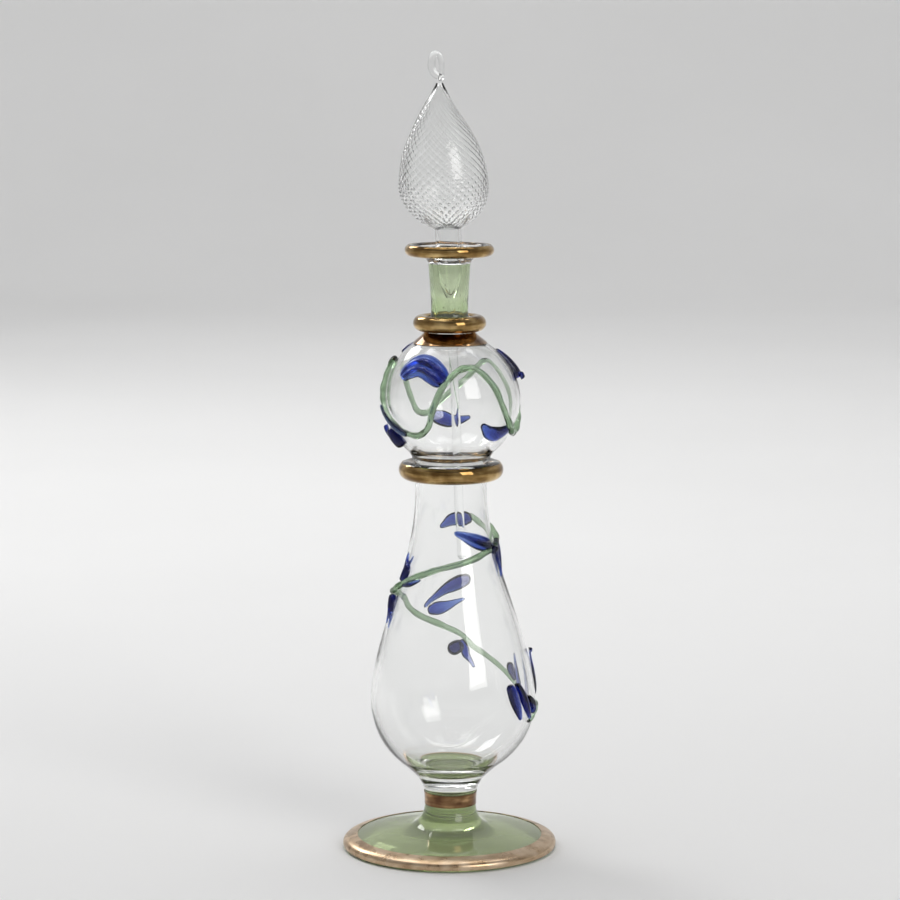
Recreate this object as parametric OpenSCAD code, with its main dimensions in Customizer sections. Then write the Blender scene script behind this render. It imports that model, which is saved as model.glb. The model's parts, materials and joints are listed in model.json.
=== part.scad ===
/* [Foot] */
// Diameter of the foot over its gilded edge
foot_d = 53.8; // [48:0.2:60]
// Height of the hollow arch under the foot
foot_arch = 3.4; // [3:0.1:3.6]
// Radius of the narrowest part of the stem
stem_r = 6.4; // [5.6:0.1:6.6]

/* [Reservoir] */
// Largest radius of the reservoir, outside
reservoir_r = 20.7; // [19.5:0.1:22]
// Radius of the reservoir's top, inside the waist ring
waist_r = 8.9; // [8.6:0.1:9]
// Thickness of the blown glass
wall = 1.1; // [0.9:0.1:1.3]

/* [Globe] */
// Outside radius of the globe
globe_r = 16.8; // [16.4:0.1:17.2]
// Height of the globe's centre
globe_z = 114; // [113.6:0.1:114.4]

/* [Rings] */
// Thickness of the rod that the waist ring is wound from
waist_ring_d = 4.8; // [4.4:0.1:5]
// Thickness of the rod that the shoulder ring is wound from
shoulder_ring_d = 4; // [3.6:0.1:4.2]
// Thickness of the rod that the mouth ring is wound from
mouth_ring_d = 3; // [2.6:0.1:3.2]
// Thickness of the fired gold lustre, with its flux
gilding = 0.15; // [0.1:0.05:0.2]

/* [Neck] */
// Outside radius of the green neck at its foot
neck_r = 4.6; // [4.5:0.1:4.8]
// Radius of the bore of the neck
bore_r = 3.8; // [3.75:0.05:3.9]

/* [Stopper] */
// How far the stopper leans to the left, in degrees
stopper_lean = 2.35; // [0:0.05:2.4]
// Largest radius of the blown finial
finial_r = 11; // [10:0.1:11.5]
// Radius of the stopper's hollow plug at the mouth
plug_r = 3.25; // [3:0.05:3.3]
// Radius of the dip rod
rod_r = 1.1; // [0.9:0.1:1.2]
// Height of the dip rod's end above the table
rod_end_z = 73.5; // [70:0.5:80]

/* [Decoration] */
// Radius of the applied green vines
vine_r = 0.7; // [0.5:0.1:0.8]
// Clearance left under the applied vines and leaves
seat_gap = 0.03; // [0.02:0.01:0.05]

/* [Hidden] */
GLOBE_LEAF_COUNT = 7;
RESERVOIR_LEAF_COUNT = 15;
$fn = 96;

CLEAR = [0.90, 0.93, 0.92, 0.45];
GREEN = [0.42, 0.60, 0.36, 0.8];
VINE = [0.55, 0.75, 0.50];
COBALT = [0.08, 0.10, 0.55];
GOLD = [0.62, 0.45, 0.16];
COPPER = [0.60, 0.33, 0.16];

// Heights where one gather of glass is fused to the next
stem_top_z = 15.1;
waist_z = 96.4;
shoulder_z = 133.1;
flange_z = 147.9;
mouth_z = 151.2;
plug_z = 139.3;
finial_z = 156.5;
finial_wide_z = 167.5;
finial_top_z = 192.3;

// Radii of the circles along which the rings are wound
waist_ring_r = waist_r + 1.8;
shoulder_core_r = 5.3;
shoulder_ring_r = 7.1;
mouth_core_r = 8.6;
flange_half = 0.9;
mouth_ring_r = 9.6;
// Gap that lets the finial turn on the plug
turning_gap = 0.05;

// ---- Curves ----

function bezier(a, b, c, d, n) = [
    for (i = [0:n])
        let (t = i / n, s = 1 - t)
        s * s * s * a + 3 * s * s * t * b + 3 * s * t * t * c + t * t * t * d
];

function arc(centre, r, from, to, n) = [
    for (i = [0:n])
        let (a = from + (to - from) * i / n)
        centre + r * [cos(a), sin(a)]
];

function reversed(list) = [for (i = [len(list) - 1:-1:0]) list[i]];

// Points moved away from a centre, for a thin layer over an outline
function pushed(points, centre, by) = [
    for (p = points) p + by * (p - centre) / norm(p - centre)
];

function widened(points, by) = [for (p = points) p + [by, 0]];

// Smooth curve through b and c, at t from 0 to 1 between them
function spline(a, b, c, d, t) =
    0.5 * (2 * b + (c - a) * t + (2 * a - 5 * b + 4 * c - d) * t * t
        + (3 * b - a - 3 * c + d) * t * t * t);

// ---- Outlines, as [radius, height] ----

glass_foot_r = foot_d / 2 - gilding;
rim_centre = [glass_foot_r - 2.6, 0.9];
foot_edge = concat(
    bezier([glass_foot_r - 3.4, 3.2], [glass_foot_r - 1.5, 2.8], [glass_foot_r, 2.4], [glass_foot_r, 1.3], 7),
    [[glass_foot_r - 0.1, 0.6]]);
foot_slope = bezier([glass_foot_r - 3.4, 3.2], [18.5, 4.3], [12.8, 4.8], [9.8, 5.6], 6);
stem_flare = bezier([9.8, 5.6], [7.8, 6.4], [stem_r + 0.1, 8.6], [stem_r, 11.2], 8);
stem_band = bezier([stem_r, 11.2], [stem_r - 0.05, 12.2], [stem_r, 13.3], [stem_r + 0.15, 14.3], 5);
stem_crown = bezier([stem_r + 0.15, 14.3], [stem_r + 0.2, 14.6], [stem_r + 0.3, 14.8], [6.8, stem_top_z], 3);

reservoir_outline = concat(
    bezier([6.8, stem_top_z], [7.2, 17.2], [9.4, 19.4], [12, 21.5], 8),
    bezier([12, 21.5], [17, 25.1], [reservoir_r, 30.5], [reservoir_r, 38.5], 14),
    bezier([reservoir_r, 38.5], [reservoir_r, 45], [17.5, 55], [14.8, 63.3], 14),
    bezier([14.8, 63.3], [11.9, 72.3], [waist_r, 81], [waist_r, 93], 14),
    [[waist_r, waist_z]]);
reservoir_inside = concat(
    bezier([0, 19.5], [4.5, 19.5], [6.6, 19.5], [7.4, 20], 6),
    bezier([7.4, 20], [8.4, 20.6], [9.8, 21.5], [11.2, 22.6], 5),
    bezier([11.2, 22.6], [15.8, 25.9], [reservoir_r - wall, 31], [reservoir_r - wall, 38.5], 14),
    bezier([reservoir_r - wall, 38.5], [reservoir_r - wall, 44.9], [16.4, 54.7], [14.8 - wall, 63], 14),
    bezier([14.8 - wall, 63], [10.9, 71.6], [waist_r - wall, 80.8], [waist_r - wall, 93], 14),
    [[waist_r - wall, waist_z]]);

globe_centre = [0, globe_z];
globe_collar = bezier([9.15, globe_z + 14.1], [8.0, globe_z + 15.1], [6.9, globe_z + 15.9],
    [6.25, globe_z + 16.7], 6);
globe_outline = concat(
    [[waist_r, waist_z], [waist_r, 98.05], [9.5, 99.0], [9.9, 99.9]],
    arc(globe_centre, globe_r, -50, 56, 40),
    globe_collar,
    [[5.6, 131.3], [shoulder_core_r, 131.9], [shoulder_core_r, shoulder_z]]);
globe_inside = concat(
    [[waist_r - wall, waist_z], [waist_r - wall, 98.6], [8.3, 99.9]],
    arc(globe_centre, globe_r - wall, -54, 64, 40),
    bezier([6.1, 129], [4.9, 129.8], [4.1, 130.7], [4, 132], 5),
    [[4, shoulder_z]]);

neck_outline = concat(
    [[shoulder_core_r, shoulder_z], [shoulder_core_r, 133.9], [neck_r + 0.15, 134.7]],
    bezier([neck_r, 135.4], [neck_r + 0.05, 139.5], [neck_r + 0.3, 143.5], [neck_r + 0.65, flange_z], 8));
neck_bore = [[4, shoulder_z], [bore_r, 134.6], [bore_r, 140], [bore_r + 0.2, flange_z]];

flange_outline = concat(
    bezier([neck_r + 0.65, flange_z], [5.7, 149.3], [7.1, 149.9], [mouth_core_r, mouth_z - flange_half], 7),
    [[mouth_core_r, mouth_z + flange_half]]);
flange_bore = [[bore_r + 0.2, flange_z], [bore_r + 0.3, mouth_z + 0.5],
    [bore_r + 0.7, mouth_z + flange_half]];

finial_outline = concat(
    bezier([plug_r + 0.05, finial_z], [6.8, 158.1], [finial_r, 161.6], [finial_r, finial_wide_z], 16),
    bezier([finial_r, finial_wide_z], [finial_r, 177.6], [5, 183.6], [0.85, finial_top_z], 20));
finial_inside = concat(
    [[2.2, finial_z]],
    bezier([2.2, 157.5], [5.9, 159], [finial_r - wall, 162.2], [finial_r - wall, finial_wide_z], 16),
    bezier([finial_r - wall, finial_wide_z], [finial_r - wall, 177], [4.3, 183], [0, 191], 20));

// ---- Surfaces of the two blown bodies ----

function radius_at(outline, z) = lookup(z, [for (p = outline) [p[1], p[0]]]);

// Point on a body: azimuth from the front, turning to the right, height, and lift off the glass
function on_body(outline, az, z, lift) =
    let (step = 0.2,
         r = radius_at(outline, z),
         slope = (radius_at(outline, z + step) - radius_at(outline, z - step)) / (2 * step),
         normal = [1, -slope] / norm([1, -slope]),
         out = r + lift * normal[0])
    [out * sin(az), -out * cos(az), z + lift * normal[1]];

// ---- Vines, as hand-placed [azimuth, height] points ----

// The wreath round the globe rises and falls three times and closes on itself
GLOBE_VINE = [
    [-32, 106], [-17, 110], [-7, 117.5], [5, 121.8], [20, 123], [36, 119.5],
    [46, 114], [60, 109.2], [80, 106.4], [100, 109.6], [113, 114.5], [123, 119],
    [137, 123.3], [152, 121.6], [170, 116.5], [190, 111.3], [207, 108.6], [217, 112],
    [227, 117.5], [243, 122], [262, 123.8], [276, 120], [288, 115.2], [306, 110.4]
];
// The tendril falls one and a quarter turns round the reservoir
RESERVOIR_VINE = [
    [141, 82.3], [113, 79.7], [90, 78.2], [60, 77.2], [30, 75.5], [0, 73.8], [-30, 71.6],
    [-60, 68], [-90, 65], [-118, 62.5], [-140, 58.8], [-165, 54.8], [-185, 51.2],
    [-197, 47.2], [-212, 44.6], [-228, 40.5], [-245, 37.5], [-265, 36.2], [-280, 34.6], [-292, 34]
];
VINE_SIDES = 8;
VINE_STEPS = 5;

// Control point i, going round and round a closed wreath
function wreath_point(points, i) =
    let (n = len(points), turn = floor(i / n))
    points[i - n * turn] + [360 * turn, 0];

function wreath_route(points) = [
    for (i = [0:len(points) - 1], k = [0:VINE_STEPS - 1])
        spline(wreath_point(points, i - 1), wreath_point(points, i), wreath_point(points, i + 1),
            wreath_point(points, i + 2), k / VINE_STEPS)
];

function tendril_route(points) =
    let (last = len(points) - 1)
    [for (i = [0:last - 1], k = [0:VINE_STEPS - 1 + (i == last - 1 ? 1 : 0)])
        spline(points[max(i - 1, 0)], points[i], points[i + 1], points[min(i + 2, last)],
            k / VINE_STEPS)];

// One ring of points round the vine, square to its run
function vine_ring(outline, before, here, after, r) =
    let (lift = vine_r + seat_gap,
         centre = on_body(outline, here[0], here[1], lift),
         ahead = on_body(outline, after[0], after[1], lift) - on_body(outline, before[0], before[1], lift),
         run = ahead / norm(ahead),
         up = centre - on_body(outline, here[0], here[1], 0),
         side = cross(run, up / norm(up)),
         out = cross(side, run))
    [for (k = [0:VINE_SIDES - 1])
        let (a = 360 * k / VINE_SIDES) centre + r * (cos(a) * out + sin(a) * side)];

function band_faces(first, second, sides) = [
    for (k = [0:sides - 1])
        let (next = (k + 1) % sides)
        each [[first + k, second + k, second + next], [first + k, second + next, first + next]]
];

// Tube that hugs a body along a route; an open one tapers at both ends
module vine(outline, route, closed) {
    n = len(route);
    taper_rings = 6;
    rings = [
        for (i = [0:n - 1])
            let (before = closed ? route[(i + n - 1) % n] + [i == 0 ? -360 : 0, 0] : route[max(i - 1, 0)],
                 after = closed ? route[(i + 1) % n] + [i == n - 1 ? 360 : 0, 0] : route[min(i + 1, n - 1)],
                 from_end = min(i, n - 1 - i),
                 r = closed ? vine_r : vine_r * (0.45 + 0.55 * min(1, from_end / taper_rings)))
            vine_ring(outline, before, route[i], after, r)
    ];
    side_faces = [
        for (i = [0:closed ? n - 1 : n - 2])
            each band_faces(i * VINE_SIDES, ((i + 1) % n) * VINE_SIDES, VINE_SIDES)
    ];
    caps = closed ? [] : [
        [for (k = [0:VINE_SIDES - 1]) k],
        [for (k = [VINE_SIDES - 1:-1:0]) (n - 1) * VINE_SIDES + k]
    ];
    polyhedron(points = [for (ring = rings) each ring], faces = concat(side_faces, caps), convexity = 10);
}

// ---- Leaves ----

// Each leaf: base azimuth and height, tip azimuth and height, width, upward bow, thickness
GLOBE_LEAVES = [
    [-5, 121.6, -47, 119.6, 6.4, 2.2, 1.2],
    [-113, 125.2, -124, 127.6, 2.2, 0, 0.9],
    [88, 120.4, 84, 127, 5.6, 0, 1.4],
    [-68, 109.6, -84, 106, 2, 0, 1],
    [-50, 106.4, -80, 102.4, 3.4, 0, 1.3],
    [28, 109.4, 57, 107.2, 3.2, -2.8, 1.3],
    [191, 107.8, 160, 107.4, 3.8, -1, 1.2]
];
RESERVOIR_LEAVES = [
    [146, 82.8, 198, 80.4, 3.8, 1.2, 1.2],
    [55, 79, 8, 81.4, 4.6, 0.4, 1.2],
    [84, 76.4, 72, 69.8, 3, 0, 1],
    [-60, 69.6, -69, 75.6, 2.6, 0, 1],
    [-101, 62.4, -105, 55.8, 3.2, 0, 1.1],
    [206, 59.4, 161, 66.2, 3.2, 0.8, 1.1],
    [198, 57, 168, 61, 3.4, 0, 1],
    [178, 48.4, 188, 45.2, 2.6, 0, 1.6],
    [167, 45.2, 163, 39.8, 2.2, 0, 1],
    [130, 42, 131, 45.8, 2.6, 0, 1.6],
    [120, 40.2, 118, 48, 2.4, 0, 1],
    [104, 38.6, 99, 49.4, 3.2, 0, 1.6],
    [46, 44.5, 58, 35.6, 3, 0, 1],
    [59, 43.6, 65.5, 36, 3.2, 0, 1.1],
    [73, 41, 76.5, 36.2, 2.2, 0, 1]
];
LEAF_RINGS = 14;
// Across each ring: place from edge to edge, and 1 for a point on the upper face
LEAF_SECTION = [
    [-1, 0], [-0.75, 0], [-0.5, 0], [-0.25, 0], [0, 0], [0.25, 0], [0.5, 0], [0.75, 0], [1, 0],
    [0.7, 1], [0.35, 1], [0, 1], [-0.35, 1], [-0.7, 1]
];

// Half width along a leaf, from its narrow base, by its full belly, to its tip
function leaf_swell(t) = 0.06 + 0.94 * pow(sin(180 * pow(t, 0.85)), 0.8);

module leaf(outline, shape) {
    mid_z = (shape[1] + shape[3]) / 2;
    mm_per_degree = radius_at(outline, mid_z) * PI / 180;
    base = [shape[0] * mm_per_degree, shape[1]];
    along = [shape[2] * mm_per_degree, shape[3]] - base;
    turn = along[0] < 0 ? -1 : 1;
    across = turn * [-along[1], along[0]] / norm(along);
    sides = len(LEAF_SECTION);
    points = [
        for (i = [0:LEAF_RINGS], section = LEAF_SECTION)
            let (t = i / LEAF_RINGS,
                 swell = leaf_swell(t),
                 off = shape[5] * sin(180 * t) + section[0] * swell * shape[4] / 2,
                 place = base + along * t + across * off,
                 crown = shape[6] * (1 - 0.55 * section[0] * section[0]) * (0.35 + 0.65 * swell),
                 lift = seat_gap + section[1] * crown)
            on_body(outline, place[0] / mm_per_degree, place[1], lift)
    ];
    faces = concat(
        [for (i = [0:LEAF_RINGS - 1]) each band_faces(i * sides, (i + 1) * sides, sides)],
        [[for (k = [0:sides - 1]) k]],
        [[for (k = [sides - 1:-1:0]) LEAF_RINGS * sides + k]]);
    // A leaf that runs to the left has its rings the other way round
    ordered = turn > 0 ? faces : [for (f = faces) reversed(f)];
    polyhedron(points = points, faces = ordered, convexity = 6);
}

// ---- Shared solids ----

module turned(outline, inside) {
    rotate_extrude() polygon(concat(outline, reversed(inside)));
}

module ring_solid(ring_r, rod_d, z) {
    translate([0, 0, z]) rotate_extrude() translate([ring_r, 0]) circle(d = rod_d);
}

// Wound ring without its lustre, cut where it is fused to the glass inside it
module wound_ring(ring_r, rod_d, z, core_r) {
    difference() {
        ring_solid(ring_r, rod_d - 2 * gilding, z);
        translate([0, 0, z - rod_d]) cylinder(r = core_r, h = 2 * rod_d);
    }
}

// Lustre over a wound ring, up to a height above the ring's centre
module ring_lustre(ring_r, rod_d, z, core_r, up_to) {
    difference() {
        ring_solid(ring_r, rod_d, z);
        ring_solid(ring_r, rod_d - 2 * gilding, z);
        translate([0, 0, z - rod_d]) cylinder(r = core_r, h = 2 * rod_d);
        translate([0, 0, z + up_to]) cylinder(r = ring_r + rod_d, h = rod_d);
    }
}

// The whole stopper leans about the end of its plug
module leaning() {
    translate([0, 0, plug_z]) rotate([0, -stopper_lean, 0]) translate([0, 0, -plug_z]) children();
}

// ---- Bottle ----

module foot() {
    color(GREEN)
    rotate_extrude() polygon(concat(
        [[0, foot_arch]],
        bezier([2, foot_arch], [10, foot_arch], [14, 2.9], [18.5, 1.9], 8),
        bezier([18.5, 1.9], [21, 1.3], [22.6, 0.2], [24, 0], 5),
        [[glass_foot_r - 0.8, 0]],
        reversed(foot_edge), foot_slope, stem_flare, stem_band, stem_crown,
        [[0, stem_top_z]]));
}

module foot_rim_gilding() {
    color(GOLD)
    turned(foot_edge, pushed(foot_edge, rim_centre, gilding));
}

module stem_gilding() {
    color(COPPER)
    turned(widened(stem_band, gilding), stem_band);
}

module reservoir() {
    color(CLEAR)
    rotate_extrude() polygon(concat([[0, stem_top_z]], reservoir_outline, reversed(reservoir_inside)));
}

module waist_ring() {
    color(CLEAR) wound_ring(waist_ring_r, waist_ring_d, waist_z, waist_r);
}

module waist_ring_gilding() {
    color(GOLD) ring_lustre(waist_ring_r, waist_ring_d, waist_z, waist_r, 1.3);
}

module globe() {
    color(CLEAR) turned(globe_outline, globe_inside);
}

module collar_gilding() {
    color(COPPER) turned(pushed(globe_collar, globe_centre, gilding), globe_collar);
}

module shoulder_ring() {
    color(CLEAR) wound_ring(shoulder_ring_r, shoulder_ring_d, shoulder_z, shoulder_core_r);
}

module shoulder_ring_gilding() {
    color(COPPER)
    ring_lustre(shoulder_ring_r, shoulder_ring_d, shoulder_z, shoulder_core_r, shoulder_ring_d);
}

module neck() {
    color(GREEN) turned(neck_outline, neck_bore);
}

module mouth_flange() {
    color(CLEAR) turned(flange_outline, flange_bore);
}

module mouth_ring() {
    color(CLEAR) wound_ring(mouth_ring_r, mouth_ring_d, mouth_z, mouth_core_r);
}

module mouth_ring_gilding() {
    color(GOLD) ring_lustre(mouth_ring_r, mouth_ring_d, mouth_z, mouth_core_r, 0.9);
}

// ---- Applied decoration ----

module globe_vine() {
    color(VINE) vine(globe_outline, wreath_route(GLOBE_VINE), true);
}

module reservoir_vine() {
    color(VINE) vine(reservoir_outline, tendril_route(RESERVOIR_VINE), false);
}

module globe_leaf(i) {
    color(COBALT) leaf(globe_outline, GLOBE_LEAVES[i]);
}

module reservoir_leaf(i) {
    color(COBALT) leaf(reservoir_outline, RESERVOIR_LEAVES[i]);
}

// ---- Stopper ----

module stopper_plug() {
    outside = [[plug_r - 0.75, plug_z], [plug_r - 0.4, plug_z + 0.4], [plug_r, mouth_z + 0.5],
        [plug_r, finial_z - turning_gap]];
    hollow = [[0, plug_z + 0.9], [1.3, plug_z + 1.1], [2, plug_z + 2], [2.2, plug_z + 3.6],
        [2.2, finial_z - turning_gap]];
    color(CLEAR) leaning()
    rotate_extrude() polygon(concat([[0, plug_z]], outside, reversed(hollow)));
}

module dip_rod() {
    color(CLEAR) leaning() {
        translate([0, 0, rod_end_z + rod_r]) cylinder(r = rod_r, h = plug_z - rod_end_z - rod_r);
        translate([0, 0, rod_end_z + rod_r]) sphere(r = rod_r);
    }
}

module finial() {
    color(CLEAR) leaning()
    rotate_extrude() polygon(concat(finial_outline, [[0, finial_top_z]], reversed(finial_inside)));
}

// The drawn-out tail of the finial, bent over into a small loop, as [x, height] points
LOOP_ROUTE = [
    [0, 192.3], [0.25, 193.2], [0.75, 194.6], [0.85, 196.2], [0.3, 198.2], [-0.6, 199.5],
    [-1.65, 199.1], [-2.2, 197.6], [-2.1, 195.9], [-1.8, 194.6], [-1.5, 193.8]
];
LOOP_SIDES = 10;

module finial_loop() {
    last = len(LOOP_ROUTE) - 1;
    points = [
        for (i = [0:last], k = [0:LOOP_SIDES - 1])
            let (ahead = LOOP_ROUTE[min(i + 1, last)] - LOOP_ROUTE[max(i - 1, 0)],
                 run = (i == 0 ? [0, 1] : ahead / norm(ahead)),
                 r = 0.75 - 0.35 * i / last,
                 a = 360 * k / LOOP_SIDES,
                 place = LOOP_ROUTE[i] + r * cos(a) * [run[1], -run[0]])
            [place[0], r * sin(a), place[1]]
    ];
    faces = concat(
        [for (i = [0:last - 1]) each band_faces(i * LOOP_SIDES, (i + 1) * LOOP_SIDES, LOOP_SIDES)],
        [[for (k = [0:LOOP_SIDES - 1]) k]],
        [[for (k = [LOOP_SIDES - 1:-1:0]) last * LOOP_SIDES + k]]);
    color(CLEAR) leaning() polyhedron(points = points, faces = faces, convexity = 6);
}

foot();
foot_rim_gilding();
stem_gilding();
reservoir();
waist_ring();
waist_ring_gilding();
globe();
collar_gilding();
shoulder_ring();
shoulder_ring_gilding();
neck();
mouth_flange();
mouth_ring();
mouth_ring_gilding();
globe_vine();
reservoir_vine();
stopper_plug();
dip_rod();
finial();
finial_loop();
for (i = [1:GLOBE_LEAF_COUNT]) globe_leaf(i - 1);
for (i = [1:RESERVOIR_LEAF_COUNT])
    reservoir_leaf(i - 1);
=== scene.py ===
"""Looks of a hand-blown glass perfume bottle: glass shells, gilded rings, vines, leaves and stopper."""

import json
import math

import bmesh
import bpy
import numpy as np
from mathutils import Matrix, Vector


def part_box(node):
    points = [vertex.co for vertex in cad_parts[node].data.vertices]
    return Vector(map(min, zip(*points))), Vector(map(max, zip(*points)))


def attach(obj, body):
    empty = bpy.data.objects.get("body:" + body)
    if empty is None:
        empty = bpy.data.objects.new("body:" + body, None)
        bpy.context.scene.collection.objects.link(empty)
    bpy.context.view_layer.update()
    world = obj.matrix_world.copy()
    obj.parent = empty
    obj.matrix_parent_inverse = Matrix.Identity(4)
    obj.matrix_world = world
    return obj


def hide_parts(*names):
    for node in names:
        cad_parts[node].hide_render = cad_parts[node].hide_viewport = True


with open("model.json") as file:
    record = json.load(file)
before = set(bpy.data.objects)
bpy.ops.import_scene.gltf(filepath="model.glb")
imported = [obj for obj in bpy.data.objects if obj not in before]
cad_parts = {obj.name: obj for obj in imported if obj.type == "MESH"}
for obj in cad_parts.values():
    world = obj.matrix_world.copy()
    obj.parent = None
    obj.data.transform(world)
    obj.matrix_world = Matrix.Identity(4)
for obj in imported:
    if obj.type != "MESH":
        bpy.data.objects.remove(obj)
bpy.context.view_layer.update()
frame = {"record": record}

# Shapes below are worked out in millimetres and written to the meshes in metres
MM = 0.001
SEGMENTS = 192
# Air left between two gathers of glass, so that no two surfaces lie on each other
FUSED_GAP = 0.01
# The same between the lustre and the glass under it
FILM_GAP = 0.02


# ---------------------------------------------------------------- curves

def bezier(a, b, c, d, n):
    t = np.linspace(0, 1, n + 1)[:, None]
    a, b, c, d = (np.array(p, float) for p in (a, b, c, d))
    return (1 - t) ** 3 * a + 3 * (1 - t) ** 2 * t * b + 3 * (1 - t) * t * t * c + t ** 3 * d


def arc(centre, radius, start, end, n):
    angle = np.radians(np.linspace(start, end, n + 1))
    return np.array(centre) + radius * np.column_stack([np.cos(angle), np.sin(angle)])


def joined(*runs):
    """One outline from several runs, without the points where two runs meet twice."""
    points = np.vstack([np.atleast_2d(np.array(run, float)) for run in runs])
    keep = np.ones(len(points), bool)
    keep[1:] = np.linalg.norm(np.diff(points, axis=0), axis=1) > 1e-6
    return points[keep]


def spline(points, steps, closed=False):
    """Catmull-Rom curve through points that start with an azimuth; a closed one runs once round."""
    points = np.array(points, float)
    if closed:
        turn = np.array([360.0, 0.0])
        points = np.vstack([points[-1] - turn, points, points[0] + turn, points[1] + turn])
    else:
        points = np.vstack([points[0], points, points[-1]])
    out = []
    for a, b, c, d in zip(points, points[1:], points[2:], points[3:]):
        for t in np.arange(steps) / steps:
            out.append(0.5 * (2 * b + (c - a) * t + (2 * a - 5 * b + 4 * c - d) * t * t
                              + (3 * b - a - 3 * c + d) * t ** 3))
    if not closed:
        out.append(points[-2])
    return np.array(out)


def smooth_between(x, xs, ys):
    """Value between given ones, easing in and out of each."""
    i = np.clip(np.searchsorted(xs, x) - 1, 0, len(xs) - 2)
    xs, ys = np.array(xs, float), np.array(ys, float)
    t = np.clip((x - xs[i]) / (xs[i + 1] - xs[i]), 0, 1)
    t = t * t * (3 - 2 * t)
    return ys[i] + (ys[i + 1] - ys[i]) * t


# ---------------------------------------------------------------- sizes from the frame

def top_mm(node):
    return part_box(node)[1][2] / MM


def radius_mm(node):
    low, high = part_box(node)
    return (high[0] - low[0]) / 2 / MM


STEM_TOP = top_mm("foot")
WAIST_Z = top_mm("reservoir")
SHOULDER_Z = top_mm("globe")
FLANGE_Z = top_mm("neck")
RESERVOIR_R = 20.7
GLOBE_R = 16.8
GLOBE_Z = 114.0
WAIST_R = 8.9
WALL = 1.1
STEM_R = 6.4
NECK_R = 4.6
BORE_R = 3.8
MOUTH_Z = 151.2
MOUTH_CORE_R = 8.6
SHOULDER_CORE_R = 5.3
FOOT_R = radius_mm("foot_rim_gilding")
GILDING = 0.15
turn_joint = next(j for j in frame["record"]["behaviour"]["joints"] if j["name"] == "finial_turn")
PLUG_Z = turn_joint["pos_m"][2] / MM
LEAN = math.atan2(-turn_joint["axis"][0], turn_joint["axis"][2])
ROD_END_Z = 73.5
ROD_R = 1.1
PLUG_R = 3.25
PLUG_BORE_R = 2.45
FINIAL_Z = 156.5
FINIAL_WIDE_Z = 167.5
FINIAL_TOP_Z = 192.3
FINIAL_R = 11.0

# The bottle was turned by hand, so its axis wanders a little to either side on its way up
DRIFT_HEIGHTS = (0, 12, 38, 62, 96, 114, 133, 152)
DRIFT_X = (-0.35, -0.1, 0.6, 0.35, 0.05, 0.55, -0.3, -0.35)
DRIFT_Y = (0, 0.1, -0.2, 0.15, 0, 0.2, 0, 0)


def drifted(points):
    points = np.array(points, float)
    z = points[..., 2]
    points[..., 0] += smooth_between(z, DRIFT_HEIGHTS, DRIFT_X)
    points[..., 1] += smooth_between(z, DRIFT_HEIGHTS, DRIFT_Y)
    return points


def leaned(points):
    """Points of the stopper, which leans about the end of its plug."""
    points = np.array(points, float)
    x, z = points[..., 0].copy(), points[..., 2] - PLUG_Z
    points[..., 0] = x * math.cos(LEAN) - z * math.sin(LEAN)
    points[..., 2] = x * math.sin(LEAN) + z * math.cos(LEAN) + PLUG_Z
    return points


# ---------------------------------------------------------------- outlines, as (radius, height)

# Half the height of the face where each wound ring is fused on
WAIST_JOIN = 1.35
SHOULDER_JOIN = 0.43
MOUTH_JOIN = 0.9

GLASS_FOOT_R = FOOT_R - GILDING
FOOT_ARCH = 3.4
# Heights between which the stem is lustred
BAND_LOW = 11.2
BAND_HIGH = 14.3
RIM_CENTRE = (GLASS_FOOT_R - 2.6, 0.9)
foot_edge = joined(
    bezier((GLASS_FOOT_R - 3.4, 3.2), (GLASS_FOOT_R - 1.5, 2.8),
           (GLASS_FOOT_R, 2.4), (GLASS_FOOT_R, 1.3), 24),
    bezier((GLASS_FOOT_R, 1.3), (GLASS_FOOT_R, 1.0), (GLASS_FOOT_R, 0.8), (GLASS_FOOT_R - 0.1, 0.6), 6))
stem_flare = bezier((9.8, 5.6), (7.8, 6.4), (STEM_R + 0.1, 8.6), (STEM_R, BAND_LOW), 24)
stem_band = bezier((STEM_R, BAND_LOW), (STEM_R - 0.05, 12.2), (STEM_R, 13.3), (STEM_R + 0.15, BAND_HIGH), 12)
stem_crown = bezier((STEM_R + 0.15, BAND_HIGH), (STEM_R + 0.2, 14.6), (STEM_R + 0.3, 14.8),
                    (6.8, STEM_TOP), 8)

reservoir_outside = joined(
    bezier((6.8, STEM_TOP), (7.2, 17.2), (9.4, 19.4), (12, 21.5), 24),
    bezier((12, 21.5), (17, 25.1), (RESERVOIR_R, 30.5), (RESERVOIR_R, 38.5), 36),
    bezier((RESERVOIR_R, 38.5), (RESERVOIR_R, 45), (17.5, 55), (14.8, 63.3), 32),
    bezier((14.8, 63.3), (11.9, 72.3), (WAIST_R, 81), (WAIST_R, 93), 32),
    (WAIST_R, WAIST_Z - WAIST_JOIN), (WAIST_R, WAIST_Z))
reservoir_inside = joined(
    bezier((0, 20.2), (3.5, 20.2), (6.5, 20.5), (8.6, 21.6), 24),
    bezier((8.6, 21.6), (15, 25), (RESERVOIR_R - WALL, 31), (RESERVOIR_R - WALL, 38.5), 40),
    bezier((RESERVOIR_R - WALL, 38.5), (RESERVOIR_R - WALL, 44.9), (16.4, 54.7), (14.8 - WALL, 63), 32),
    bezier((14.8 - WALL, 63), (10.9, 71.6), (WAIST_R - WALL, 80.8), (WAIST_R - WALL, 93), 32),
    (WAIST_R - WALL, WAIST_Z))

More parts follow.
